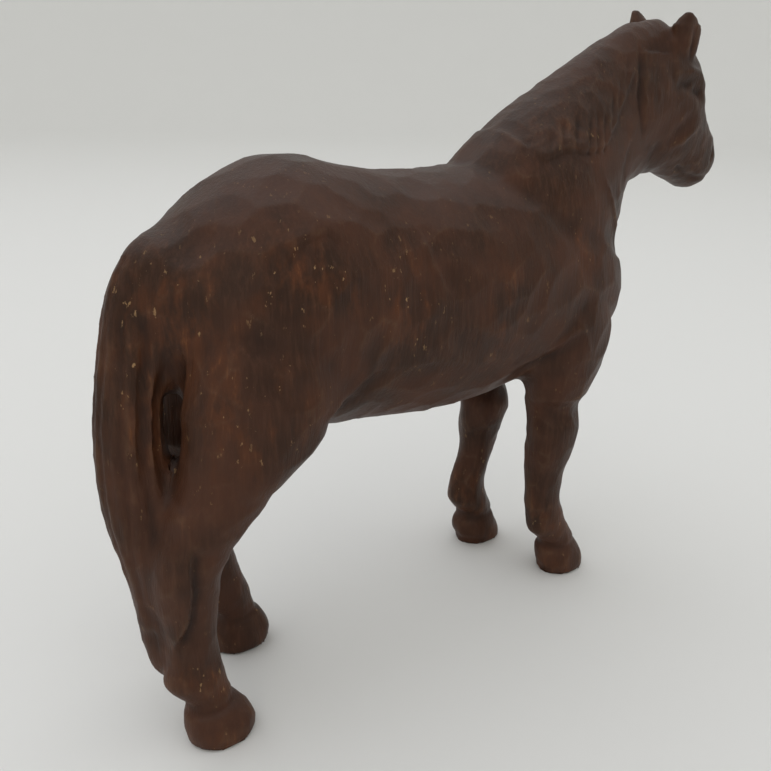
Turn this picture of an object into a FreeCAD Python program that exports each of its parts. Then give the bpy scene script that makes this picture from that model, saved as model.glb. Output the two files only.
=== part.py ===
import FreeCAD, Part
import os

# A standing horse carved in wood, nose to +X, its left side to +Y, soles on Z = 0.
# The carving is laid out as ten masses of a glued-up blank.  Every mass is a loft
# through elliptical sections, and neighbouring masses meet face to face:
#   the legs on a level seat under the body, the neck on a slanting glue plane at
#   the withers, the head on the last section of the neck, and the ears and the
#   tail coped to the wood that they grow from.

doc = FreeCAD.newDocument("carved_horse")
sheet = doc.addObject("Spreadsheet::Sheet", "dims")
next_row = 1


def size(alias, value):
    """Write one plain number to the sheet under an alias, and give the text that reads it."""
    global next_row
    sheet.set(f"A{next_row}", alias.replace("_", " "))
    sheet.set(f"B{next_row}", str(value))
    sheet.setAlias(f"B{next_row}", alias)
    next_row += 1
    return f"dims.{alias}"


def section(label, place, long_half, short_half, pitch):
    """An elliptical section.  Its long axis lies in the upright plane of symmetry, turned
    up from the nose by the pitch, and its short axis runs across the horse."""
    ellipse = doc.addObject("Part::Ellipse", label)
    ellipse.Placement.Rotation = FreeCAD.Rotation(FreeCAD.Vector(0, -1, 0), 1)
    ellipse.setExpression("MajorRadius", long_half)
    ellipse.setExpression("MinorRadius", short_half)
    for axis, where in zip("xyz", place):
        ellipse.setExpression(f"Placement.Base.{axis}", where)
    ellipse.setExpression("Placement.Rotation.Angle", pitch)
    return ellipse


def loft(label, sections):
    """A closed solid through the sections, in order."""
    solid = doc.addObject("Part::Loft", label)
    solid.Sections = sections
    solid.Solid = True
    return solid


def named(label, solid):
    """Give the finished sub-part the name of its file."""
    solid.Label = label
    return solid


# ---------------------------------------------------------------- driving dimensions
rump = size("rump_forward", -143)          # rear end of the body, measured from the origin
length = size("body_length", 222.5)        # rump to breast
leg = size("leg_height", 96)               # floor to the level seat of the four legs
chest = f"({rump} + {length})"
level = "180"                              # pitch of a level section, in degrees
upright = "90"                             # pitch of an upright section, in degrees

# ---------------------------------------------------------------- body
# Each row: name, datum, distance forward of it, rise of the underline above the leg
# seats, half height, half width.
body_rows = [
    ("dock", rump, 0, 49, 13, 10),
    ("rump", rump, 9, 32, 26.5, 21.5),
    ("quarter", rump, 24, 17, 39, 32),
    ("croup", rump, 49, 9, 48.5, 38.5),
    ("flank", rump, 79, 5.5, 48, 37.5),
    ("barrel", f"({rump} + {length} / 2)", 2, 1.5, 48.5, 38.5),
    ("girth", chest, -75.5, 2.5, 48.5, 38.5),
    ("shoulder", chest, -43.5, 7, 44, 35.5),
    ("breast", chest, -18, 10.5, 37, 31),
    ("breastbone", chest, -3.5, 17, 26.5, 21.5),
    ("point", chest, 3, 24, 15, 12),
]
body_sections = []
for name, datum, forward, rise, tall, wide in body_rows:
    forward = size(f"body_{name}_forward", forward)
    rise = size(f"body_{name}_rise", rise)
    tall = size(f"body_{name}_half_height", tall)
    wide = size(f"body_{name}_half_width", wide)
    place = (f"{datum} + {forward}", "0", f"{leg} + {rise} + {tall}")
    body_sections.append(section(f"body_{name}", place, tall, wide, upright))
body = loft("body", body_sections)

# ---------------------------------------------------------------- neck
# The glue plane slopes down towards the breast.  The neck runs through it into the body.
glue_slope = size("glue_slope", 33.7)
glue_x = f"({chest} + {size('glue_from_breast', -41.5)})"
glue_z = f"({leg} + {size('glue_rise', 78)})"
reach = 200                                 # half the side of the block that is the neck side
neck_length = size("neck_length", 72.5)     # from the glue plane to the poll joint
neck_side = doc.addObject("Part::Box", "neck_side")
neck_side.Length = neck_side.Width = neck_side.Height = 2 * reach
neck_side.Placement.Rotation = FreeCAD.Rotation(FreeCAD.Vector(0, 1, 0), 1)
neck_side.setExpression("Placement.Rotation.Angle", glue_slope)
neck_side.setExpression("Placement.Base.x", f"{glue_x} - {reach} * cos({glue_slope} * 1 deg)")
neck_side.setExpression("Placement.Base.y", f"{-reach}")
neck_side.setExpression("Placement.Base.z", f"{glue_z} + {reach} * sin({glue_slope} * 1 deg)")

# Each row: name, shares of the neck length forward and up, long half, half width, pitch.
neck_rows = [
    ("root", -0.23, -0.28, 46, 31, 147),
    ("glue", 0.0, 0.0, 47, 31, 146.3),
    ("lower", 0.20, 0.25, 38.5, 26.5, 141),
    ("middle", 0.40, 0.42, 33.5, 20.5, 132.5),
    ("upper", 0.61, 0.53, 32.5, 16.5, 118),
    ("poll", 0.81, 0.62, 33.5, 14.5, 106),
]
neck_sections = []
for name, forward, up, tall, wide, pitch in neck_rows:
    forward = size(f"neck_{name}_forward", forward)
    up = size(f"neck_{name}_up", up)
    tall = size(f"neck_{name}_half_depth", tall)
    wide = size(f"neck_{name}_half_width", wide)
    pitch = size(f"neck_{name}_pitch", pitch)
    place = (f"{glue_x} + {neck_length} * {forward}", "0", f"{glue_z} + {neck_length} * {up}")
    neck_sections.append(section(f"neck_{name}", place, tall, wide, pitch))
neck_loft = loft("neck_loft", neck_sections)
poll_x = f"({glue_x} + {neck_length} * dims.neck_poll_forward)"
poll_z = f"({glue_z} + {neck_length} * dims.neck_poll_up)"

# ---------------------------------------------------------------- head
# Each row: name, shares of the head length forward and down, long half, half width,
# pitch.  The head starts on the neck's last section.
head_length = size("head_length", 67)
head_rows = [
    ("cheek", 0.29, 0.0, 32, 16.5, 87),
    ("brow", 0.48, 0.11, 26.5, 16, 73),
    ("nose", 0.62, 0.26, 20, 13.5, 66),
    ("nostril", 0.73, 0.36, 16.2, 12.3, 62),
    ("muzzle", 0.83, 0.44, 13.4, 10.8, 58),
    ("lips", 0.9, 0.48, 7.2, 5.8, 56),
]
head_sections = [neck_sections[-1]]
for name, forward, down, tall, wide, pitch in head_rows:
    forward = size(f"head_{name}_forward", forward)
    down = size(f"head_{name}_down", down)
    tall = size(f"head_{name}_half_depth", tall)
    wide = size(f"head_{name}_half_width", wide)
    pitch = size(f"head_{name}_pitch", pitch)
    place = (f"{poll_x} + {head_length} * {forward}", "0", f"{poll_z} - {head_length} * {down}")
    head_sections.append(section(f"head_{name}", place, tall, wide, pitch))
head = named("head", loft("head_loft", head_sections))

# ---------------------------------------------------------------- ears
# Each row: name, height above the poll joint's centre, forward of it, outward from the
# middle of the horse, half length, half width.
ear_rows = [
    ("root", 18, 20, 8, 8.2, 5.6),
    ("middle", 30, 18.5, 11.5, 6.6, 4.6),
    ("tip", 39.5, 15, 14.5, 1.6, 1.2),
]
for name, up, forward, outward, long_half, wide in ear_rows:
    size(f"ear_{name}_up", up)
    size(f"ear_{name}_forward", forward)
    size(f"ear_{name}_outward", outward)
    size(f"ear_{name}_half_length", long_half)
    size(f"ear_{name}_half_width", wide)
for side, sign in (("left", ""), ("right", "-")):
    ear_sections = []
    for name, *_ in ear_rows:
        place = (f"{poll_x} + dims.ear_{name}_forward", f"{sign}dims.ear_{name}_outward",
                 f"{poll_z} + dims.ear_{name}_up")
        ear_sections.append(section(f"{side}_ear_{name}", place, f"dims.ear_{name}_half_length",
                                    f"dims.ear_{name}_half_width", level))
    ear = doc.addObject("Part::Cut", f"{side}_ear_cut")
    ear.Base = loft(f"{side}_ear_loft", ear_sections)
    ear.Tool = head
    named(f"{side}_ear", ear)

# ---------------------------------------------------------------- legs
# Both legs of a pair share their sections.  Each row: name, share of the leg height,
# half length, half width.  The last row is the seat under the body.
fore_rows = [
    ("sole", 0.0, 11.8, 9.7),
    ("hoof", 0.055, 12.3, 10.1),
    ("coronet", 0.11, 11.6, 9.5),
    ("pastern", 0.177, 10.0, 8.2),
    ("fetlock", 0.25, 9.6, 7.9),
    ("low_cannon", 0.354, 9.3, 7.6),
    ("high_cannon", 0.48, 8.8, 7.2),
    ("under_knee", 0.604, 9.8, 8.0),
    ("knee", 0.708, 11.6, 9.5),
    ("forearm", 0.875, 12.4, 10.2),
    ("seat", 1.0, 15.0, 12.2),
]
hind_rows = [
    ("sole", 0.0, 12.0, 9.8),
    ("hoof", 0.055, 12.6, 10.3),
    ("coronet", 0.115, 11.2, 9.2),
    ("pastern", 0.188, 8.9, 7.3),
    ("fetlock", 0.27, 9.5, 7.8),
    ("low_cannon", 0.396, 9.0, 7.4),
    ("high_cannon", 0.52, 9.4, 7.7),
    ("under_hock", 0.646, 11.2, 9.2),
    ("hock", 0.792, 13.2, 10.8),
    ("gaskin", 0.917, 15.8, 12.9),
    ("seat", 1.0, 18.0, 14.6),
]
# Above the seat the legs grow into the shoulder or the thigh, and end inside the body.  Each
# row: name, height above the seat, forward of the leg's datum, outward, half length, half width.
shoulder_rows = [
    ("foot", 14, 2, 20, 21, 16),
    ("blade", 34, 2, 19, 24, 18),
    ("top", 58, 2, 13, 20, 15.5),
]
thigh_rows = [
    ("foot", 14, 3, 21, 25, 19.5),
    ("stifle", 36, 11, 19, 30, 21),
    ("top", 64, 13, 13, 24, 17.5),
]
shoulder_x = f"({chest} + {size('shoulder_from_breast', -39.5)})"
hip_x = f"({rump} + {size('hip_from_rump', 26)})"
pairs = {
    "fore": (fore_rows, shoulder_rows, shoulder_x),
    "hind": (hind_rows, thigh_rows, hip_x),
}
for pair, (rows, upper_rows, datum) in pairs.items():
    for name, share, long_half, wide in rows:
        size(f"{pair}_{name}_share", share)
        size(f"{pair}_{name}_half_length", long_half)
        size(f"{pair}_{name}_half_width", wide)
    for name, rise, forward, outward, long_half, wide in upper_rows:
        size(f"{pair}_{name}_rise", rise)
        size(f"{pair}_{name}_forward", forward)
        size(f"{pair}_{name}_outward", outward)
        size(f"{pair}_{name}_half_length", long_half)
        size(f"{pair}_{name}_half_width", wide)

# The stance: for each leg and each section from the sole up, how far it stands forward of
# the leg's datum and outward from the middle of the horse.
stance = {
    ("fore", "right"): [(16.5, 19), (16, 19), (14, 19), (11.5, 19), (7, 19.5), (1, 20), (-2, 20),
                        (-2, 20), (-1.5, 21), (-1, 21), (0, 21)],
    ("fore", "left"): [(2.5, 26), (2, 26), (0, 26), (-1, 26), (-4.5, 25), (-7.5, 25), (-5.5, 24),
                       (-2.5, 24), (-2.5, 23), (-3, 22), (0, 21)],
    ("hind", "right"): [(-14.5, 24), (-15, 23.5), (-16.5, 23), (-19, 22), (-21.5, 21.5),
                        (-23, 21), (-23, 21), (-23.5, 21), (-20.5, 21.5), (-13, 22), (-8, 22)],
    ("hind", "left"): [(16, 20), (16, 20), (15.5, 20), (13.5, 20), (10.5, 20), (7, 20), (4, 20),
                       (1, 20), (-1, 20), (-1, 21), (0, 22)],
}
leg_names = {"fore": "foreleg", "hind": "hind_leg"}
legs = {}
limb_roots = []
for (pair, side), offsets in stance.items():
    rows, upper_rows, datum = pairs[pair]
    outward_sign = "-" if side == "right" else ""
    leg_sections = []
    for (name, *_), (forward, outward) in zip(rows, offsets):
        key = f"{pair}_{name}"
        forward = size(f"{side}_{key}_forward", forward)
        outward = size(f"{side}_{key}_outward", outward)
        place = (f"{datum} + {forward}", f"{outward_sign}{outward}", f"{leg} * dims.{key}_share")
        leg_sections.append(section(f"{side}_{key}", place, f"dims.{key}_half_length",
                                    f"dims.{key}_half_width", level))
    legs[side, pair] = named(f"{side}_{leg_names[pair]}", loft(f"{side}_{pair}_loft", leg_sections))

    root_sections = [leg_sections[-1]]
    for name, *_ in upper_rows:
        key = f"{pair}_{name}"
        place = (f"{datum} + dims.{key}_forward", f"{outward_sign}dims.{key}_outward",
                 f"{leg} + dims.{key}_rise")
        root_sections.append(section(f"{side}_{key}_upper", place, f"dims.{key}_half_length",
                                     f"dims.{key}_half_width", level))
    limb_roots.append(loft(f"{side}_{pair}_root_loft", root_sections))

# ---------------------------------------------------------------- trunk and neck
# The body, the neck's root and the tops of the limbs are one mass, sawn off at the glue
# plane, and the neck is what stands above that plane.
masses = doc.addObject("Part::MultiFuse", "masses")
masses.Shapes = [body, neck_loft] + limb_roots
trunk = doc.addObject("Part::Cut", "trunk_cut")
trunk.Base = masses
trunk.Tool = neck_side
named("trunk", trunk)
neck = doc.addObject("Part::Common", "neck_common")
neck.Base = neck_loft
neck.Tool = neck_side
named("neck", neck)

# ---------------------------------------------------------------- tail
# Each row: name, rise above the leg seats or share of the leg height, forward of the
# rump, outward, half length, half width, pitch.  It starts inside the croup, hangs
# behind the thighs and lies against the right hock.
tail_rows = [
    ("root", "rise", 76, 17, 0, 8.2, 6.7, 104),
    ("dock", "rise", 72.5, 4.5, 0, 9.6, 7.9, 137),
    ("bend", "rise", 61, 2, 0, 11.4, 8.9, 165),
    ("brush", "rise", 39, -2.5, 2, 11.8, 9.5, 178),
    ("slot", "share", 1.125, -5.5, 5, 12.4, 10.0, 180),
    ("hock", "share", 0.854, -3.5, 8, 12.8, 10.4, 180),
    ("lock", "share", 0.646, -1.5, 10, 11, 9, 180),
    ("taper", "share", 0.46, -1.5, 12, 9, 7.3, 180),
    ("tip", "share", 0.275, -1.5, 12.5, 4, 3.2, 180),
]
tail_sections = []
for name, rule, height, forward, outward, long_half, wide, pitch in tail_rows:
    height = size(f"tail_{name}_{rule}", height)
    forward = size(f"tail_{name}_forward", forward)
    outward = size(f"tail_{name}_outward", outward)
    long_half = size(f"tail_{name}_half_length", long_half)
    wide = size(f"tail_{name}_half_width", wide)
    pitch = size(f"tail_{name}_pitch", pitch)
    up = f"{leg} + {height}" if rule == "rise" else f"{leg} * {height}"
    place = (f"{rump} + {forward}", f"-{outward}", up)
    tail_sections.append(section(f"tail_{name}", place, long_half, wide, pitch))
tail_behind_trunk = doc.addObject("Part::Cut", "tail_behind_trunk")
tail_behind_trunk.Base = loft("tail_loft", tail_sections)
tail_behind_trunk.Tool = trunk
tail = doc.addObject("Part::Cut", "tail_cut")
tail.Base = tail_behind_trunk
tail.Tool = legs["right", "hind"]
named("tail", tail)

# ---------------------------------------------------------------- check and write
doc.recompute()
for item in doc.Objects:
    if "Invalid" in item.State or "Error" in item.State:
        raise RuntimeError(f"{item.Label} did not build: {item.State}")

sub_parts = ["trunk", "neck", "head", "left_ear", "right_ear", "left_foreleg", "right_foreleg",
             "left_hind_leg", "right_hind_leg", "tail"]
for label in sub_parts:
    shape = doc.getObjectsByLabel(label)[0].Shape
    if shape.isNull() or not shape.isValid() or len(shape.Solids) != 1:
        raise RuntimeError(f"{label} is not one valid solid: {len(shape.Solids)} solids")

os.makedirs("parts", exist_ok=True)
for label in sub_parts:
    shape = doc.getObjectsByLabel(label)[0].Shape
    shape.exportStep(f"parts/{label}.step")
    print(f"{label}: {shape.Volume / 1000:.1f} cm3, {shape.BoundBox}")
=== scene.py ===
import math

import bmesh
import bpy
import numpy as np
from mathutils import Matrix, Vector
from mathutils.bvhtree import BVHTree


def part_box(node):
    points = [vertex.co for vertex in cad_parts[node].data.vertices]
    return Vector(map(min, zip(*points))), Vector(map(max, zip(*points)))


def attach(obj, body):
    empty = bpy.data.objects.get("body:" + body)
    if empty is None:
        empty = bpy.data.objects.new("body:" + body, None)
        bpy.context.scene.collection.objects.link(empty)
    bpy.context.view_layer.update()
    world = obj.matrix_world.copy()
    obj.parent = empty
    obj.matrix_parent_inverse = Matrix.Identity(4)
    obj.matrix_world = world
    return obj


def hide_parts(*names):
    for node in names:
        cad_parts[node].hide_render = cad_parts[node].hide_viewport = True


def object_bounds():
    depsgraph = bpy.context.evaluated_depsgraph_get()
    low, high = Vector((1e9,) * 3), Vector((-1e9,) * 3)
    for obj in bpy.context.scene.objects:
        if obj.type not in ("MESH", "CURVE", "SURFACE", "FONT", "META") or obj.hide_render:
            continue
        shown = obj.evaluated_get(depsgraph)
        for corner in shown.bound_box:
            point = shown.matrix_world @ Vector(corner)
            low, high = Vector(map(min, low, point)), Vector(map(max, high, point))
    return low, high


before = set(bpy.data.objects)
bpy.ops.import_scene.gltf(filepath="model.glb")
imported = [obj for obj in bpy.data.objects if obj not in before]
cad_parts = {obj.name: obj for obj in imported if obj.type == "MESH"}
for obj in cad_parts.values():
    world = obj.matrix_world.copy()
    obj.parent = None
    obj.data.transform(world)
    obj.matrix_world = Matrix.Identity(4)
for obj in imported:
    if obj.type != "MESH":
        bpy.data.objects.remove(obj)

cad_box = [list(corner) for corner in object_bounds()]


# ---------------------------------------------------------------- the roughed-out block
# The horse is carved from one block of hardwood.  Its ten masses are first sawn and
# rasped to shape, and then run into each other, so the whole skin is made as one mesh.

MM = 0.001
RASP_GRID = 1.0 * MM          # spacing of the skin's mesh
JOINT_VALLEY = 0.15           # a valley this deep, in millimetres, starts to be filled
VALLEY_FULL = 0.5             # and one this much deeper is filled all the way

# The knife will take wood off again, so the rough shape is left that much full, in
# millimetres: all over, and more or less than that in some places.
SPARE = 0.35
SPARE_TAIL = 0.5
SPARE_LEGS = 0.3
SPARE_EARS = 0.5
POLL_DIP = 1.3
FORELOCK = 0.9

ROUGH_NODES = list(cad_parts)
LOW = {name: np.array(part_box(name)[0]) / MM for name in ROUGH_NODES}
HIGH = {name: np.array(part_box(name)[1]) / MM for name in ROUGH_NODES}


def merged_copy(nodes):
    """One mesh with a copy of every mass in it, the loose triangles of each joined at their
    shared corners."""
    together = bmesh.new()
    for node in nodes:
        already = len(together.verts)
        together.from_mesh(node.data)
        together.verts.ensure_lookup_table()
        bmesh.ops.remove_doubles(together, verts=together.verts[already:], dist=0.001 * MM)
    mesh = bpy.data.meshes.new("masses")
    together.to_mesh(mesh)
    together.free()
    return mesh


def read(collection, name, width, kind=np.float64):
    """All of one property of a mesh's parts, as an array with a row for each part."""
    values = np.empty(len(collection) * width, kind)
    collection.foreach_get(name, values)
    return values.reshape(-1, width)


def upright(points, quads):
    """The outward normal of each point: the cross products of the diagonals of the faces
    round it, added up and made one long."""
    p = points[quads]
    face = np.cross(p[:, 2] - p[:, 0], p[:, 3] - p[:, 1])
    flat = quads.ravel()
    total = np.stack([np.bincount(flat, np.repeat(face[:, k], 4), len(points))
                      for k in range(3)], axis=1)
    return total / np.maximum(np.linalg.norm(total, axis=1, keepdims=True), 1e-12)


def relaxed(values, edges, share, turns):
    """Rows of values, each moved by a share of the way to the mean of its neighbours, for a
    number of turns."""
    one, other = edges.T
    neighbours = np.bincount(edges.ravel(), minlength=len(values))[:, None]
    for _ in range(turns):
        total = np.stack([np.bincount(one, values[other, k], len(values))
                          + np.bincount(other, values[one, k], len(values))
                          for k in range(values.shape[1])], axis=1)
        values = values + share * (total / neighbours - values)
    return values


block = bpy.data.objects.new("block", merged_copy(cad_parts.values()))
bpy.context.scene.collection.objects.link(block)
grid = block.modifiers.new("grid", "REMESH")
grid.mode = "VOXEL"
grid.voxel_size = RASP_GRID
skin_mesh = bpy.data.meshes.new_from_object(
    block.evaluated_get(bpy.context.evaluated_depsgraph_get()))
bpy.data.objects.remove(block)
points = read(skin_mesh.vertices, "co", 3)
edges = read(skin_mesh.edges, "vertices", 2, np.int32)
quads = read(skin_mesh.loops, "vertex_index", 1, np.int32).reshape(-1, 4)

# Which mass each point of the skin belongs to: the one whose surface is nearest.
owners = []
shapes = bmesh.new()
for number, name in enumerate(ROUGH_NODES):
    already = len(shapes.faces)
    shapes.from_mesh(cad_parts[name].data)
    owners += [number] * (len(shapes.faces) - already)
search = BVHTree.FromBMesh(shapes)
shapes.free()
nearest = [search.find_nearest(p)[2] for p in points.tolist()]
owner = np.array(owners)[np.array(nearest)]


def belongs(*names):
    """1 on the points of the named masses and 0 on the rest, relaxed so that it fades over a
    few millimetres at their borders."""
    inside = np.isin(owner, [ROUGH_NODES.index(name) for name in names]).astype(float)
    return relaxed(inside[:, None], edges, 0.6, 12)[:, 0]


# Where two masses meet in a valley, the rasp runs one into the other.
thin = belongs("left_ear", "right_ear")
points = relaxed(points, edges, (0.5 - 0.42 * thin)[:, None], 5)
normals = upright(points, quads)
sunk = ((relaxed(points, edges, 0.5, 30) - points) * normals).sum(axis=1)
valley = np.clip((sunk - JOINT_VALLEY * MM) / (VALLEY_FULL * MM), 0, 1)
valley = relaxed(valley[:, None], edges, 0.6, 40)
valley = np.clip(valley * 2.6, 0, 0.6)
lift = ((relaxed(points, edges, valley, 80) - points) * normals).sum(axis=1)
points += normals * np.maximum(lift, 0)[:, None]
points = relaxed(points, edges, 0.6 * valley, 8)
normals = upright(points, quads)

# The croup runs down into the root of the tail without a step: the skin is relaxed within
# about 15 mm of the dock.
from_dock = (points[:, [0, 2]] / MM - (LOW["trunk"][[0, 2]] + (6, 81))) / 15
dock = np.exp(-(from_dock ** 2).sum(axis=1))
points = relaxed(points, edges, (0.6 * dock)[:, None], 140)
normals = upright(points, quads)

# The tail is full where it hangs free, and the legs and the lower part of the ears are full
# all over.  The poll dips between the ears, and the forelock stands in front of it.
x, _, z = (points / MM).T
hanging = np.clip((LOW["tail"][2] + 128.6 - z) / 20, 0, 1) * belongs("tail")
crown = (z > HIGH["head"][2] - 14) * (1 - thin)
poll = np.exp(-((x - LOW["head"][0] - 12.5) / 12) ** 2) * crown
forelock = np.exp(-((x - LOW["head"][0] - 20.5) / 5) ** 2) * crown
legs = belongs(*[name for name in ROUGH_NODES if "leg" in name])
ears_below_tips = thin * (z < HIGH["right_ear"][2] - 6.45)
spare = (SPARE - POLL_DIP * poll + SPARE_TAIL * hanging + SPARE_LEGS * legs
         + SPARE_EARS * ears_below_tips + FORELOCK * forelock)
points += normals * (spare * MM * (z > 0.8))[:, None]


# ---------------------------------------------------------------- head
# The head is cut in with small gouges: a heavy brow over a sunk eye, a round cheek with a
# deep groove behind it, a sharp edge down to the bulging muzzle, nostril and mouth.

# The maker draws each feature on one side of the block and cuts it in from there.  A view
# gives the axes that run across it, up it and out of it.
VIEWS = {"side": (0, 2, 1), "behind": (1, 2, 0), "top": (0, 1, 2)}


def on(name, *places):
    """Places drawn on a mass in its side view, in millimetres forward of and above the low
    corner of its box."""
    corner = LOW[name][[0, 2]]
    return [tuple((corner + place) * MM) for place in places]


def along_line(flat, line):
    """How far each flat point lies from a bent line, on which side of it, and at which share
    of its length.  The line is taken piece by piece, and the nearest piece counts."""
    best = np.full(len(flat), np.inf)
    signed = np.zeros(len(flat))
    share = np.zeros(len(flat))
    line = np.array(line, float)
    steps = np.diff(line, axis=0)
    lengths = np.linalg.norm(steps, axis=1)
    starts = np.concatenate([[0], np.cumsum(lengths)[:-1]])
    for start, step, length, run in zip(line, steps, lengths, starts):
        t = np.clip(((flat - start) @ step) / length ** 2, 0, 1)
        away = flat - start - t[:, None] * step
        distance = np.linalg.norm(away, axis=1)
        closer = distance < best
        best = np.where(closer, distance, best)
        side = np.sign(step[0] * away[:, 1] - step[1] * away[:, 0])
        signed = np.where(closer, side * distance, signed)
        share = np.where(closer, (run + t * length) / lengths.sum(), share)
    return best, signed, share


def facing(view, hand):
    """1 where the skin faces the maker squarely, 0 where it turns away: the square root of
    the normal's share towards the maker, who sits on the high or the low side of the view."""
    return np.sqrt(np.clip(hand * normals[:, VIEWS[view][2]], 0, 1))


def stroke(line, wide, deep, hands=(-1, 1), view="side", where=1.0):
    """Cuts a groove, or raises a ridge where deep is negative: every point moves inwards by
    deep * exp(-(distance / wide)^2).  Deep is in millimetres at evenly spaced stops along
    the line, and a single depth fades to nothing at the two ends."""
    across, up, _ = VIEWS[view]
    flat = points[:, [across, up]]
    distance, _, share = along_line(flat, line)
    stops = [0, deep, deep, 0] if np.isscalar(deep) else deep
    profile = np.interp(share, np.linspace(0, 1, len(stops)), stops)
    amount = profile * np.exp(-(distance / (wide * MM)) ** 2) * MM
    turned = sum(facing(view, hand) for hand in hands)
    points[:] -= normals * (amount * turned * where)[:, None]


def mound(name, place, radii, high, hands=(-1, 1), where=1.0):
    """Raises a rounded boss, or dishes a hollow where high is negative, seen from the side:
    high * exp(-(x / long)^2 - (z / tall)^2) millimetres."""
    centre = np.array(on(name, place)[0])
    reach = (points[:, [0, 2]] - centre) / (np.array(radii) * MM)
    amount = high * np.exp(-(reach ** 2).sum(axis=1)) * MM
    turned = sum(facing("side", hand) for hand in hands)
    points[:] += normals * (amount * turned * where)[:, None]


head_only = belongs("head", "neck", "left_ear", "right_ear")
# round cheek, and the groove behind and below it
mound("head", (9.5, 36), (11, 14), 1.9, where=head_only)
stroke(on("neck", (88, 95), (85.8, 82), (84.5, 73), (86, 62), (90, 54)), 2.0,
       [0.4, 1.5, 1.5, 1.2, 0.3], where=head_only)
stroke(on("head", (1, 27), (13, 20), (25, 17)), 4.5, 1.3, where=head_only)
# socket, eyeball and brow
stroke(on("head", (25, 49.5), (32, 48), (39, 45.5)), 3.0, [1.6, 2.9, 1.8], where=head_only)
mound("head", (32.5, 47.6), (2.7, 2.2), 2.0, where=head_only)
stroke(on("head", (21, 53), (30, 54.8), (39, 53), (45, 48.5)), 2.3, [-0.4, -1.4, -1.7, -0.8],
       where=head_only)
# edge from the cheek to the muzzle, with the hollow over it
stroke(on("head", (42, 31.5), (34, 25.8), (26, 20)), 1.5, -0.9, where=head_only)
stroke(on("head", (37, 36), (29, 30), (22, 24)), 3.4, 1.0, where=head_only)
# muzzle, nostril and mouth
mound("head", (54, 12), (10, 9), 0.9, where=head_only)
stroke(on("head", (62, 15), (65, 19.5)), 1.5, [1.0, 1.8, 1.2], where=head_only)
stroke(on("head", (66, 6.5), (60, 6), (53, 6), (46, 8), (39, 11.5)), 1.1,
       [0.4, 0.8, 1.0, 0.9, 1.2], where=head_only)
# two thin edges left standing by the groove, and the hollow of the temple
stroke(on("head", (8.7, 48), (9.1, 40)), 0.9, -0.5, where=head_only)
stroke(on("neck", (87.5, 76), (88.7, 69)), 0.9, -0.5, where=head_only)
stroke(on("head", (14, 58), (20, 50), (24, 42)), 3.0, 0.8, where=head_only)
# the line of the nose, all the way across: full at the brow, dipping, full at the muzzle
for place, radius, high in (((50, 58), 6.0, 0.9), ((59.5, 42), 9.0, -1.9), ((68, 26), 6.0, 0.6)):
    reach = points[:, [0, 2]] - np.array(on("head", place)[0])
    bulge = high * np.exp(-(reach ** 2).sum(axis=1) / (radius * MM) ** 2)
    points += normals * (bulge * head_only * MM)[:, None]
normals = upright(points, quads)


# ---------------------------------------------------------------- ears
# The ears are pared to short points, hollowed with one push of a small gouge on the outer
# front side, and a blunt forelock is left standing between them.

ears_only = belongs("left_ear", "right_ear")
stroke(on("right_ear", (7.0, 13), (8.5, 6), (9.0, 1)), 1.9, [0.8, 1.9, 1.2], where=ears_only)
# both are broadened near the top, and the right one is blunted
x, _, z = (points / MM).T
upper = np.exp(-((z - HIGH["right_ear"][2] + 7.45) / 4.5) ** 2)
points[:, 0] += 1.3 * upper * np.tanh((x - LOW["right_ear"][0] - 8.08) / 3) * ears_only * MM
tip = np.maximum(z - HIGH["right_ear"][2] + 3.95, 0)
points[:, 2] -= 0.45 * tip * belongs("right_ear") * MM
# forelock, along the middle of the head
stroke([((LOW["head"][0] + forward) * MM, 0) for forward in (8, 22)], 5.0, [0, -0.7, -0.5],
       hands=(1,), view="top", where=head_only)
normals = upright(points, quads)


# ---------------------------------------------------------------- mane and neck
# The mane lies in low relief over both sides of the crest.  It starts at the withers with
# a small step, and its locks are parted by upright cuts of a narrow gouge.

def lap(line, high, reach, step=0.7, hands=(-1, 1), view="side", where=1.0):
    """Lays one form over another along a line: the points to the left of the line rise and
    those to the right sink, by high * tanh(distance / step) * exp(-distance / reach)."""
    across, up, _ = VIEWS[view]
    distance, signed, share = along_line(points[:, [across, up]], line)
    ends = np.clip(np.minimum(share, 1 - share) / 0.12, 0, 1)
    amount = high * np.tanh(signed / (step * MM)) * np.exp(-distance / (reach * MM)) * ends * MM
    turned = sum(facing(view, hand) for hand in hands)
    points[:] += normals * (amount * turned * where)[:, None]


neck_only = belongs("neck", "head", "trunk")
# lower edge of the mane, from the withers to the ear
lap(on("neck", (14, 56), (19.5, 50), (30, 53.5), (41, 52.6), (51.5, 53), (59.5, 58.5), (67, 66),
       (76, 77), (84, 88)), 0.9, 8.0, where=neck_only)
# the cuts between the locks: bottom, top and depth
for bottom, top, deep in (((21, 51), (27, 60.5), 0.5), ((29, 54), (34.5, 65.5), 0.9),
                          ((35.5, 53.5), (42, 67.5), 1.1), ((42.6, 52.5), (50, 69), 1.2),
                          ((47.7, 52.4), (55, 70.5), 1.0), ((52.8, 53), (59.5, 72), 0.9),
                          ((60, 60), (67, 78), 0.7), ((66.5, 67), (73, 84), 0.6),
                          ((73, 75), (79.5, 91), 0.6)):
    stroke(on("neck", bottom, top), 1.15, [deep * 0.8, deep, deep, 0], where=neck_only)
# step at the withers
lap(on("neck", (8, 66), (15.5, 54)), -1.0, 4.0, step=1.2, where=neck_only)
# throat: the hollow under the jaw, and the edge and groove down to the breast
stroke(on("neck", (80, 58), (72, 44), (68, 34)), 2.4, 0.7, where=neck_only)
stroke(on("neck", (52, 40), (63.5, 21.5), (68.6, 1.7)), 1.5, [-0.5, -1.0, -0.9, -0.3])
stroke(on("neck", (57, 42), (70, 22), (75, 2)), 3.2, 0.7)
normals = upright(points, quads)


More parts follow.
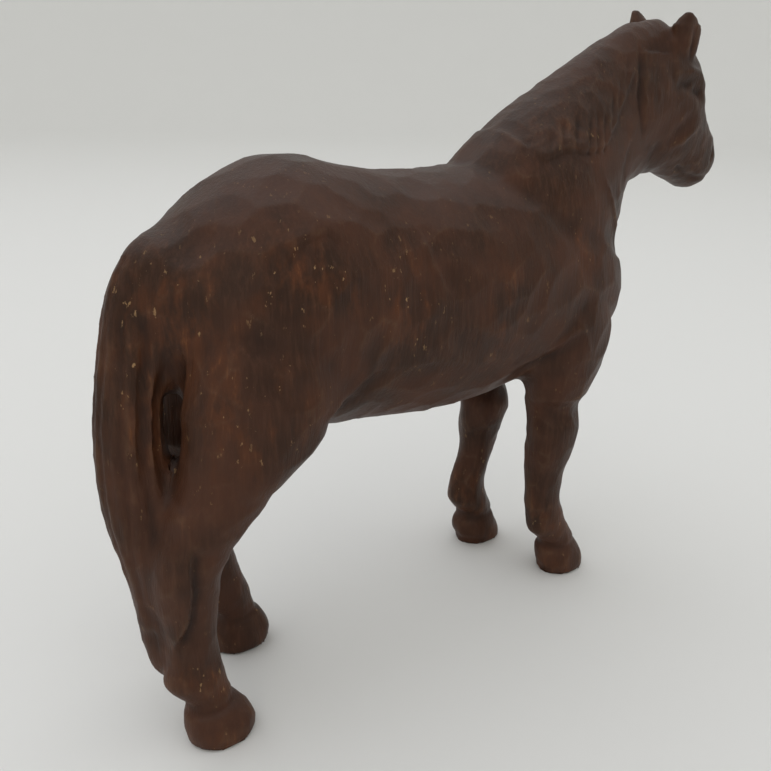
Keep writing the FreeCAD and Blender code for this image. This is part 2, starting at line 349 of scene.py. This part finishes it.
# ---------------------------------------------------------------- body
# The barrel, shoulder and quarters are left broad, with a fold in front of the stifle, a
# crease behind the elbow, and a few long edges where the knife was turned.

# fold of the stifle, and the hollow in front of it
stroke(on("trunk", (52, 24.5), (62.7, 28.7), (70, 36.2), (73, 46)), 2.2, [-0.9, -0.9, -0.5, 0])
stroke(on("trunk", (57, 20), (67, 25.5), (74.5, 34), (78, 45)), 3.8, [1.0, 1.5, 0.9, 0])
# edge and crease behind the elbow
stroke(on("trunk", (138, 18.5), (158.4, 24.7), (168.7, 28.8), (177, 34.5)), 1.7,
       [-0.3, -0.9, -1.0, -0.5])
stroke(on("trunk", (143, 14), (160, 19.5), (171, 24), (179, 30)), 3.2, [0.6, 1.6, 1.5, 0.4])
# edges where the knife was turned, at the elbow, the flank with its hollow, and the hip
stroke(on("trunk", (171, 42), (177, 36), (183, 24)), 1.6, [0, -0.6, -0.4])
stroke(on("trunk", (92, 81.6), (94.5, 71), (101, 57)), 1.2, [-0.3, -0.7, -0.6, 0])
stroke(on("trunk", (98, 76), (102, 66), (107, 56)), 4.0, [0.2, 0.6, 0])
lap(on("trunk", (58.5, 81.5), (52, 84.8), (42, 82.5), (36, 76)), -0.6, 6.0)
# broad hollows behind the shoulder blade and down the thigh
stroke(on("trunk", (160, 90), (170, 70), (184, 46)), 6.0, 0.7)
stroke(on("trunk", (20, 60), (28, 44), (30, 28)), 6.0, 0.8)
normals = upright(points, quads)


# ---------------------------------------------------------------- tail
# The tail grows out of the croup, hangs clear of the thighs over a narrow slot, and lies
# against the right hock.  Long gouge cuts part its hair, and a second lock lies beside it.

tail_only = belongs("tail")
# cuts that part the hair, seen from the side: line and depth
for line, deep in (
    (((18.5, 152), (11, 126), (5, 89), (5, 50), (9, 26)), 0.9),
    (((23.5, 152), (18.5, 125), (13, 88), (10.3, 50), (12.5, 24)), 1.0),
    (((21.5, 146), (15, 112), (9.5, 72), (8, 42)), 0.6),
    (((26, 146), (23, 118), (18, 84), (15.5, 52), (17, 30)), 0.7),
):
    stroke(on("tail", *line), 1.3, [0.2, deep, deep, deep, 0.2], where=tail_only)
# and seen from behind
rear_low = LOW["tail"][[1, 2]]
for line, deep in (
    (((17, 150), (14, 110), (9.5, 70), (6.5, 30)), 1.0),
    (((21, 148), (18, 108), (13, 66), (9.5, 26)), 0.9),
    (((13, 146), (10, 104), (5.5, 62), (3.5, 36)), 0.8),
    (((24, 140), (22, 100), (17, 60), (12, 30)), 0.7),
):
    hung = [tuple((rear_low + place) * MM) for place in line]
    stroke(hung, 1.3, [0.2, deep, deep, 0.2], hands=(-1,), view="behind", where=tail_only)
# the tail lies over the hock, and the quarter is hollowed beside it
lap(on("tail", (19, 58), (18.2, 46), (18.7, 40.5), (17.5, 28.5), (12.9, 17)), -1.9, 6.0,
    step=0.6, hands=(-1,), where=belongs("tail", "right_hind_leg"))
mound("trunk", (7.5, 51), (4.5, 9), -2.2, where=belongs("trunk"))
normals = upright(points, quads)

# The slot is opened from both sides: the tail's front face goes back, the thighs' go forward.
SLOT_HEIGHT = 28              # the middle of the slot over the lowest point of the trunk
SLOT_REACH = 17               # half its height, and how far it goes to either side
SLOT_DEEP = 1.8               # how far either face is moved
SLOT_LEFT = 3.0               # how much further the left thigh goes
above_middle = (points[:, 2] / MM - (LOW["trunk"][2] + SLOT_HEIGHT)) / SLOT_REACH
near_slot = (np.exp(-above_middle ** 4) * (np.abs(points[:, 1]) < SLOT_REACH * MM)
             * (points[:, 0] < (LOW["trunk"][0] + 21) * MM))
front_of_tail = np.clip(normals[:, 0] * 1.5, 0, 1) * tail_only
back_of_thigh = np.clip(-normals[:, 0] * 1.5, 0, 1) * (1 - tail_only)
left_side = np.clip(points[:, 1] / (4 * MM), 0, 1)
points[:, 0] += near_slot * ((SLOT_DEEP + SLOT_LEFT * left_side) * back_of_thigh
                             - SLOT_DEEP * front_of_tail) * MM
normals = upright(points, quads)


# ---------------------------------------------------------------- legs and hooves
# Each leg swells behind the fetlock, is nicked above the heel, and stands on a blunt hoof
# with a cut round its top.

LEGS = ["left_foreleg", "right_foreleg", "left_hind_leg", "right_hind_leg"]
FETLOCK = 27 * MM             # heights of the fetlock, the nick over the heel and the hoof's top
HEEL_NICK = 17.5 * MM
HOOF_TOP = 14 * MM
SWELL, NICK, RING = 1.9, 1.5, 0.7      # how far each stands out or goes in, in millimetres
for name in LEGS:
    own = belongs(name)
    x, _, z = points.T
    at_fetlock = (owner == ROUGH_NODES.index(name)) & (abs(z - FETLOCK) < 1.5 * MM)
    heel = points[at_fetlock, 0].min()
    behind = np.clip(-normals[:, 0], 0, 1)
    swell = np.exp(-((x - heel) / (5 * MM)) ** 2 - ((z - FETLOCK) / (5.5 * MM)) ** 2)
    nick = np.exp(-((z - HEEL_NICK) / (2.6 * MM)) ** 2)
    ring = np.exp(-((z - HOOF_TOP - 0.12 * (x - heel)) / (1.5 * MM)) ** 2)
    amount = SWELL * swell * behind - NICK * nick * behind - RING * ring
    points += normals * (amount * own * MM)[:, None]
normals = upright(points, quads)


# ---------------------------------------------------------------- knife finish
# The whole horse is finished from the knife and never sanded: every stroke leaves a shallow
# dish, and the ridges between the strokes stay.

rng = np.random.default_rng(7)
# mass: half length, half width and depth of one stroke, in millimetres, and its direction
STROKES = {
    "trunk": (12.0, 7.0, 0.75, "x"),
    "neck": (9.0, 5.2, 0.45, "x"),
    "head": (6.0, 4.0, 0.34, "x"),
    "left_ear": (4.0, 2.6, 0.22, "z"),
    "right_ear": (4.0, 2.6, 0.22, "z"),
    "tail": (11.0, 3.0, 0.35, "z"),
}
LEG_STROKE = (8.0, 4.6, 0.45, "z")
ROUGHLY = 0.55                # how far a stroke strays from the direction of its neighbours
TRIED = 24000                 # points tried as the middle of a stroke


def scattered(candidates, gaps):
    """Stroke centres taken from the candidates in turn, leaving out every one that is nearer
    than its gap to a centre already taken."""
    taken = []
    places = points[candidates]
    free = np.ones(len(candidates), bool)
    for k, place in enumerate(places):
        if free[k]:
            taken.append(candidates[k])
            free &= ((places - place) ** 2).sum(axis=1) > gaps[k] ** 2
    return taken


table = np.array([STROKES.get(name, LEG_STROKE)[:3] for name in ROUGH_NODES]) * MM
upward = np.array([STROKES.get(name, LEG_STROKE)[3] == "z" for name in ROUGH_NODES])
candidates = rng.permutation(len(points))[:TRIED]
gaps = np.sqrt(table[owner[candidates], 0] * table[owner[candidates], 1])
gaps *= rng.uniform(0.75, 1.5, len(candidates))
# A dish is a paraboloid: its depth times one less the squares of the shares of its length,
# its width and its thickness.  The deepest dish at a point counts.  The points are ranked
# from tail to nose, so that each stroke looks only at its own stretch.
order = np.argsort(points[:, 0])
ranked = points[order]
ranked_x = ranked[:, 0]
dish = np.full(len(points), -1.0)
for centre in scattered(candidates, gaps):
    half_long, half_wide, deep = table[owner[centre]] * rng.uniform(0.8, 1.35, 3)
    lean = rng.normal(0, ROUGHLY, 3)
    lean[2 if upward[owner[centre]] else 0] += 1
    lean -= normals[centre] * (lean @ normals[centre])
    lean /= np.linalg.norm(lean)
    first, last = np.searchsorted(ranked_x, points[centre, 0] + np.array([-1.6, 1.6]) * half_long)
    offset = ranked[first:last] - points[centre]
    u = offset @ lean / half_long
    h = offset @ normals[centre] / half_wide
    v = offset @ np.cross(normals[centre], lean) / half_wide
    part = order[first:last]
    dish[part] = np.maximum(dish[part], deep * (1 - u ** 2 - v ** 2 - h ** 2) / MM)
# the soles stay flat
sole = (normals[:, 2] < -0.7) & (points[:, 2] < 2 * MM)
dish = np.where(sole, 0, np.maximum(dish, 0))
points -= normals * (dish * MM)[:, None]
points[:, 2] = np.maximum(points[:, 2], 0)
normals = upright(points, quads)


def stands_out(turns, full):
    """How far each point stands out of the skin round it, from -1 in a hollow to 1 on a
    ridge: its height over the relaxed skin, as a share of a full height in millimetres."""
    out = ((points - relaxed(points, edges, 0.5, turns)) * normals).sum(axis=1)
    return np.clip(out / (full * MM), -1, 1)


# Ridges are rubbed pale, and the hollows are darkened with painted shade: both are read off the
# finished skin.
ridge = np.clip(stands_out(3, 0.07), 0, 1) ** 1.5
hollow_shade = np.clip(-stands_out(40, 0.9), 0, 1)


# ---------------------------------------------------------------- wear
# Handling has rubbed the stain off in places, and the red-brown wood shows through in
# upright streaks.  The feet are worn most evenly, by standing and by being picked up.

# mass, middle of the worn patch, its half length and half height, and how worn it is
WORN = [
    ("trunk", (40, 72), (12, 12), 0.9),
    ("trunk", (55, 64), (8, 10), 0.8),
    ("trunk", (83, 57), (12, 16), 0.75),
    ("trunk", (129, 44), (7, 16), 1.0),
    ("trunk", (10, 60), (10, 16), 0.9),
    ("trunk", (20, 30), (18, 18), 0.6),
    ("trunk", (180, 70), (14, 12), 0.5),
    ("neck", (76, 44), (5, 14), 0.9),
    ("neck", (40, 60), (16, 9), 0.3),
    ("tail", (15, 110), (8, 36), 0.7),
]
HOOF_WEAR = 0.55
SHIN_WEAR = 0.45
rubbed = np.zeros(len(points))
for name, middle, radii, strength in WORN:
    reach = (points[:, [0, 2]] - np.array(on(name, middle)[0])) / (np.array(radii) * MM)
    rubbed = np.maximum(rubbed, strength * np.exp(-(reach ** 2).sum(axis=1)))
for name in LEGS:
    own = belongs(name)
    hoof = np.clip(1 - points[:, 2] / (16 * MM), 0, 1)
    shin = np.exp(-((points[:, 2] - 30 * MM) / (14 * MM)) ** 2)
    rubbed = np.maximum(rubbed, np.maximum(HOOF_WEAR * hoof, SHIN_WEAR * shin) * own)


# ---------------------------------------------------------------- stained wood
# Close-grained hardwood, cut with a knife and stained dark brown, then waxed: a satin skin
# with upright grain streaks, pale rubbed ridges, painted shade in the hollows, and a painted
# grey sheen with some dust on whatever faces up.

def linear(code):
    """A colour written as sRGB hex, as linear red, green, blue and alpha."""
    parts = [int(code[k:k + 2], 16) / 255 for k in (1, 3, 5)]
    return [p / 12.92 if p <= 0.04045 else ((p + 0.055) / 1.055) ** 2.4 for p in parts] + [1.0]


wood = bpy.data.materials.new("knife_cut_stained_hardwood")
wood.use_nodes = True
wood_nodes = wood.node_tree
wood_nodes.nodes.clear()


def add(kind, sockets, **settings):
    """A node of one kind with its plain settings, and what goes into each named or numbered
    socket: another node's output, or a fixed value."""
    made = wood_nodes.nodes.new(kind)
    for key, value in settings.items():
        setattr(made, key, value)
    for socket, source in sockets.items():
        if isinstance(source, bpy.types.NodeSocket):
            wood_nodes.links.new(source, made.inputs[socket])
        else:
            made.inputs[socket].default_value = source
    return made


# Every amount that a colour or the gloss depends on is kept here by name.  Wear, ridges and
# hollows were worked out on the skin.
amounts = {}
for name in ("ridge", "hollow_shade", "rubbed"):
    amounts[name] = add("ShaderNodeAttribute", {}, attribute_name=name).outputs["Fac"]
facing_out = add("ShaderNodeNewGeometry", {}).outputs["Normal"]
amounts["facing_up"] = add("ShaderNodeSeparateXYZ", {0: facing_out}).outputs["Z"]

# The marks in the wood: width of one in millimetres, its width over its height, and the
# detail and roughness of its noise.
MARKS = {
    "clouds": (29.4, 1.0, 3.0, 0.55),      # the stain lies unevenly
    "grain": (1.61, 0.09, 4.0, 0.6),       # upright streaks, drawn coarse enough to show
    "fibres": (0.588, 0.05, 2.0, 0.5),     # the finest lines, felt rather than seen
    "blotches": (7.7, 0.45, 4.0, 0.6),     # where the stain took badly
    "chips": (1.92, 0.5, 3.0, 0.65),       # small tears of the knife
    "chipped": (10.5, 1.0, 1.0, 0.5),      # the places that have them
}
place = add("ShaderNodeTexCoord", {}).outputs["Object"]
for name, (wide, slender, detail, roughness) in MARKS.items():
    drawn_out = add("ShaderNodeMapping", {"Vector": place, "Scale": (1.0, 1.0, slender)})
    noise = add("ShaderNodeTexNoise", {"Vector": drawn_out.outputs["Vector"],
                                       "Scale": 1 / (wide * MM), "Detail": detail,
                                       "Roughness": roughness})
    amounts[name] = noise.outputs["Fac"]

# Smooth steps: what each one reads, where it starts and ends, and the amounts there.
STEPS = {
    "light_stain": ("clouds", 0.35, 0.68, 0.0, 1.0),
    "light_grain": ("grain", 0.42, 0.72, 0.0, 0.4),
    "red_blotches": ("blotches", 0.42, 0.66, 0.0, 0.85),
    "bare_grain": ("grain", 0.55, 0.72, 0.0, 1.0),
    "bare_blotches": ("blotches", 0.50, 0.66, 0.0, 1.0),
    "ridge_blotches": ("blotches", 0.42, 0.68, 0.0, 0.16),
    # painted sheen and dust: skin that faces up is made greyer, as if lit by the overhead lamp
    "top": ("facing_up", 0.45, 0.98, 0.0, 0.30),
    "sheen_and_dust_clouds": ("clouds", 0.30, 0.70, 0.6, 1.0),
    "chip": ("chips", 0.645, 0.68, 0.0, 1.0),
    "chipped_here": ("chipped", 0.47, 0.56, 0.0, 1.0),
    "dull_clouds": ("clouds", 0.30, 0.70, 0.38, 0.52),
    "dull_grain": ("grain", 0.30, 0.70, -0.04, 0.06),
}
for name, (source, low, high, bottom, top) in STEPS.items():
    step = add("ShaderNodeMapRange", {"Value": amounts[source], "From Min": low, "From Max": high,
                                      "To Min": bottom, "To Max": top},
               interpolation_type="SMOOTHSTEP")
    amounts[name] = step.outputs["Result"]

# Straight lines: what each one reads, its slope, and its amount at nothing.
LINES = {
    "red_wear": ("rubbed", 1.0, 0.15),
    "chip_wear": ("rubbed", 0.9, 0.2),
    # painted shade: the deeper the hollow, the more of the dark colour
    "wax": ("hollow_shade", 0.7, 0.0),
    "fine_fibres": ("fibres", 0.5, 0.0),
}
for name, (source, slope, start) in LINES.items():
    line = add("ShaderNodeMath", {0: amounts[source], 1: slope, 2: start},
               operation="MULTIPLY_ADD")
    amounts[name] = line.outputs["Value"]

# Each colour is laid over the one before it, by the product of its amounts.
LAYERS = [
    ("#462B1E", ["light_stain"]),                               # thinner stain
    ("#533729", ["light_grain"]),                               # grain lines
    ("#5C341D", ["red_blotches", "red_wear"]),                  # red-brown under worn stain
    ("#7A4B27", ["bare_grain", "bare_blotches", "rubbed"]),     # nearly bare wood
    ("#75604C", ["ridge", "ridge_blotches"]),                   # rubbed ridges
    ("#1A110D", ["wax"]),                                       # painted shade darkening the hollows
    ("#55504F", ["top", "sheen_and_dust_clouds"]),                         # painted grey sheen on top, with some dust
    ("#A5845C", ["chip", "chipped_here", "chip_wear"]),         # pale chips
]
colour = linear("#332015")
for code, names in LAYERS:
    amount = amounts[names[0]]
    for name in names[1:]:
        amount = add("ShaderNodeMath", {0: amount, 1: amounts[name]},
                     operation="MULTIPLY").outputs["Value"]
    colour = add("ShaderNodeMix", {0: amount, 6: colour, 7: linear(code)},
                 data_type="RGBA").outputs[2]

# Waxed wood is satin, and a little duller where the stain is thin.  The grain stands up by
# about a third of a millimetre.
dull = add("ShaderNodeMath", {0: amounts["dull_clouds"], 1: amounts["dull_grain"]},
           operation="ADD")
raised = add("ShaderNodeMath", {0: amounts["fine_fibres"], 1: amounts["grain"]},
             operation="ADD")
bump = add("ShaderNodeBump", {"Strength": 0.8, "Distance": 0.35 * MM,
                              "Height": raised.outputs["Value"]})
skin = add("ShaderNodeBsdfPrincipled",
           {"Base Color": colour, "Roughness": dull.outputs["Value"], "IOR": 1.5,
            "Specular IOR Level": 0.17, "Normal": bump.outputs["Normal"]})
add("ShaderNodeOutputMaterial", {"Surface": skin.outputs["BSDF"]})


# ---------------------------------------------------------------- the ten pieces
# The finished skin is parted where the masses were joined.  Each piece is closed with a
# flat face inside the joint and keeps the shading of the whole, so no joint shows.

def face_owner():
    """The mass that most corners of each face belong to.  The middle two of the four sorted
    numbers are the same unless the corners are split, and then the lowest number has it."""
    votes = np.sort(owner[quads], axis=1)
    return np.where(votes[:, 1] == votes[:, 2], votes[:, 1], votes[:, 0])


def settled(owners_of_faces, turns=6):
    """Faces whose neighbours mostly belong to another mass are given to it, so that the
    borders between the masses run smoothly."""
    for _ in range(turns):
        share = np.stack([np.bincount(quads.ravel(), np.repeat(owners_of_faces == k, 4), len(points))
                          for k in range(len(ROUGH_NODES))], axis=1)
        owners_of_faces = share[quads].sum(axis=1).argmax(axis=1)
    return owners_of_faces


def border_loops(border):
    """The closed loops that a list of border edges makes, each as the points along it."""
    after = dict(border.tolist())
    while after:
        start, step = after.popitem()
        loop = [start]
        while step != start:
            loop.append(step)
            step = after.pop(step)
        yield loop


def closed_piece(name, mine):
    """A mesh of the chosen faces.  A border edge is one that no other chosen face runs along
    the other way.  Each border loop is closed with a fan of triangles round its middle.  The
    outside keeps the shading of the whole skin, and the fan is flat, with a sharp rim."""
    used, local = np.unique(quads[mine], return_inverse=True)
    local = local.reshape(-1, 4)
    loose = np.concatenate([local[:, [k, (k + 1) % 4]] for k in range(4)]).astype(np.int64)
    forward = loose[:, 0] * len(used) + loose[:, 1]
    backward = loose[:, 1] * len(used) + loose[:, 0]
    border = loose[~np.isin(forward, backward)]
    places = points[used]
    loops = list(border_loops(border))
    middles = np.array([places[loop].mean(axis=0) for loop in loops]).reshape(-1, 3)
    fans = [(b, a, len(used) + k) for k, loop in enumerate(loops)
            for a, b in zip(loop, loop[1:] + loop[:1])]
    mesh = bpy.data.meshes.new(name)
    mesh.from_pydata(np.concatenate([places, middles]).tolist(), [], local.tolist() + fans)
    for attribute, values in (("ridge", ridge), ("hollow_shade", hollow_shade), ("rubbed", rubbed)):
        layer = mesh.attributes.new(attribute, "FLOAT", "POINT")
        layer.data.foreach_set("value", np.concatenate([values[used], np.zeros(len(middles))]))
    mesh.polygons.foreach_set("use_smooth", np.arange(len(mesh.polygons)) < len(local))
    mesh.update()
    on_border = np.ones(len(mesh.vertices), bool)
    on_border[:len(used)] = np.isin(np.arange(len(used)), border)
    sharp = mesh.attributes.new("sharp_edge", "BOOLEAN", "EDGE")
    sharp.data.foreach_set("value", on_border[read(mesh.edges, "vertices", 2, np.int32)].all(axis=1))
    outside = normals[used][local.ravel()]
    caps = np.repeat(read(mesh.polygons, "normal", 3)[len(local):], 3, axis=0)
    mesh.normals_split_custom_set(np.concatenate([outside, caps]).tolist())
    mesh.materials.append(wood)
    return mesh


part_of_face = settled(face_owner())
for number, name in enumerate(ROUGH_NODES):
    piece = bpy.data.objects.new(name + "_carving",
                                 closed_piece(name + "_carving", part_of_face == number))
    bpy.context.scene.collection.objects.link(piece)
    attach(piece, "root")
    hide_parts(name)


# ---------------------------------------------------------------- floor and light
# A plain pale floor that turns up into a round wall, a broad soft lamp overhead, a weaker
# one in front, and a pale room.

LEVEL, BEND, WALL = 3.2, 1.8, 3.2      # level reach, radius of the bend, top of the wall
AROUND = 96                            # flat faces in one turn


def cove():
    """A round floor whose edge turns up into a wall: the reach runs out level to the bend,
    round a quarter circle and straight up, and the whole is carried once round the middle."""
    turn = np.linspace(0, np.pi / 2, 16)
    reach = np.concatenate([[0.001, 0.6, 1.4], LEVEL + BEND * np.sin(turn), [LEVEL + BEND]])
    rise = np.concatenate([[0.0, 0.0, 0.0], BEND * (1 - np.cos(turn)), [WALL]])
    way = np.linspace(0, 2 * np.pi, AROUND + 1)[:-1]
    corners = np.stack([reach[:, None] * np.cos(way), reach[:, None] * np.sin(way),
                        np.repeat(rise[:, None], AROUND, axis=1)], axis=2).reshape(-1, 3)
    ring = np.arange(AROUND)
    onward = (ring + 1) % AROUND
    rows = (np.arange(len(reach) - 1) * AROUND)[:, None]
    faces = np.stack([rows + ring, rows + AROUND + ring, rows + AROUND + onward, rows + onward],
                     axis=2)
    mesh = bpy.data.meshes.new("floor")
    mesh.from_pydata(corners.tolist(), [], faces.reshape(-1, 4).tolist() + [tuple(ring.tolist())])
    mesh.polygons.foreach_set("use_smooth", np.ones(len(mesh.polygons), bool))
    return mesh


# Background paper: matt, and a little off white.
paper = bpy.data.materials.new("matt_white_paper")
paper.use_nodes = True
paper_skin = paper.node_tree.nodes["Principled BSDF"]
paper_skin.inputs["Base Color"].default_value = linear("#E6E6E4")
paper_skin.inputs["Roughness"].default_value = 0.9
floor = bpy.data.objects.new("floor", cove())
floor.data.materials.append(paper)
bpy.context.scene.collection.objects.link(floor)


def lamp(name, place, size, power, colour, towards=(0, 0, 0.1)):
    """A square soft lamp that points at the horse."""
    light = bpy.data.lights.new(name, "AREA")
    light.shape = "SQUARE"
    light.size = size
    light.energy = power
    light.color = linear(colour)[:3]
    holder = bpy.data.objects.new(name, light)
    holder.location = place
    holder.rotation_euler = (Vector(towards) - Vector(place)).to_track_quat("-Z", "Y").to_euler()
    bpy.context.scene.collection.objects.link(holder)


lamp("overhead", (-0.4, 0.3, 1.8), 2.2, 8.5, "#F2F5FF")
lamp("front", (-1.3, -1.2, 1.0), 1.2, 3.0, "#FFF8EC")

room = bpy.data.worlds.new("room")
room.use_nodes = True
room_light = room.node_tree.nodes["Background"]
room_light.inputs["Color"].default_value = linear("#F0F0EE")
room_light.inputs["Strength"].default_value = 0.93
bpy.context.scene.world = room
bpy.context.scene.view_settings.view_transform = "Standard"


# ---------------------------------------------------------------- camera
# A hand-held camera a third of a metre off, behind the horse's right quarter and looking
# down a little.

AZIMUTH = math.radians(-37.92)
ELEVATION = math.radians(20.11)
ROLL = math.radians(1.35)
DISTANCE = 339.83 * MM
FROM_MIDDLE = (-41.24, -0.23, -19.81)  # what it looks at, from the middle of the box, in millimetres
low, high = Vector(cad_box[0]), Vector(cad_box[1])
aim = (low + high) / 2 + Vector(FROM_MIDDLE) * MM
back = Vector((math.sin(AZIMUTH) * math.cos(ELEVATION), -math.cos(AZIMUTH) * math.cos(ELEVATION),
               math.sin(ELEVATION)))
right = Vector((math.cos(AZIMUTH), math.sin(AZIMUTH), 0))
above = back.cross(right)
right, above = (right * math.cos(ROLL) + above * math.sin(ROLL),
                above * math.cos(ROLL) - right * math.sin(ROLL))
camera = bpy.data.objects.new("camera", bpy.data.cameras.new("camera"))
camera.data.sensor_width = 36.0
camera.data.lens = 39.08
camera.data.clip_start = 0.01
turned = Matrix((right, above, back)).transposed().to_4x4()
camera.matrix_world = Matrix.Translation(aim + back * DISTANCE) @ turned
bpy.context.scene.collection.objects.link(camera)
bpy.context.scene.camera = camera

bpy.context.view_layer.update()
